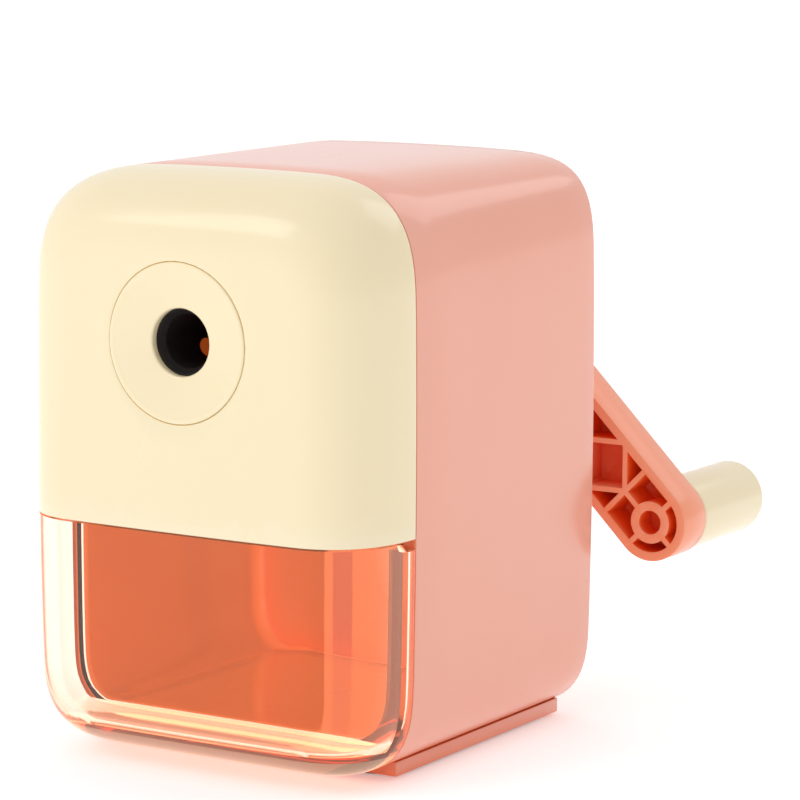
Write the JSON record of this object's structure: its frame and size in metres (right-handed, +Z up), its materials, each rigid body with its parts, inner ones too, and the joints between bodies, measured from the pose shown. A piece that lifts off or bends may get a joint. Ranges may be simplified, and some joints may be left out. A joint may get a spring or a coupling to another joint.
{
  "type": "pencil sharpener",
  "caption": "Hand-crank pencil sharpener with a tall rounded housing, a clear slide-out shavings drawer, a helical cutter and a ribbed crank with a turning grip.",
  "frame": {"origin": "centre of the rear shell's footprint, on the surface it stands on", "axes": "+X to the right seen from the front, the front with the pencil hole faces -Y, +Z up"},
  "size_m": [0.0756, 0.1148, 0.093],
  "materials": {
    "coral_gloss": "gloss moulded",
    "cream_gloss": "gloss moulded",
    "clear_tint": "clear moulded, warm tint",
    "frame_black": "fine moulded texture",
    "carrier_coral": "moulded",
    "steel": "turned",
    "bushing_brass": "turned",
    "foot_rubber": "matt"
  },
  "bodies": {
    "housing": {"body_shell": "coral_gloss", "base_plate": "coral_gloss", "foot_ring": "foot_rubber", "base_screws": "steel", "front_cover": "cream_gloss", "hole_bezel": "cream_gloss", "inner_frame": "frame_black", "cover_screws": "steel", "rear_screws": "steel", "ring_gear": "frame_black", "rear_bushing": "bushing_brass"},
    "drawer": {"shavings_drawer": "clear_tint"},
    "crank": {"cutter_carrier": "carrier_coral", "cutter_axle": "steel", "axle_clip": "steel", "drive_shaft": "steel", "shaft_pin": "steel", "thrust_washer": "steel", "crank_arm": "coral_gloss", "crank_screw": "steel", "hub_cap": "coral_gloss", "grip_pin": "coral_gloss"},
    "cutter": {"helical_cutter": "steel", "cutter_pinion": "carrier_coral"},
    "grip": {"crank_grip": "cream_gloss", "grip_cap": "cream_gloss"}
  },
  "joints": [
    {"name": "crank_turn", "type": "hinge", "parent": "housing", "child": "crank", "pos_m": [0, 0, 0.06772], "axis": [0, -1, 0], "continuous": true},
    {"name": "cutter_spin", "type": "hinge", "parent": "crank", "child": "cutter", "pos_m": [0, 0.03547, 0.06772], "axis": [0, -0.9816, 0.1908], "continuous": true},
    {"name": "grip_spin", "type": "hinge", "parent": "crank", "child": "grip", "pos_m": [0.03663, 0.055, 0.03109], "axis": [0, -1, 0], "continuous": true},
    {"name": "drawer_slide", "type": "slide", "parent": "housing", "child": "drawer", "axis": [0, -1, 0], "range_m": [0, 0.055]}
  ],
  "couplings": [
    {"joint": "cutter_spin", "follows": "crank_turn", "ratio": -3.3333}
  ]
}
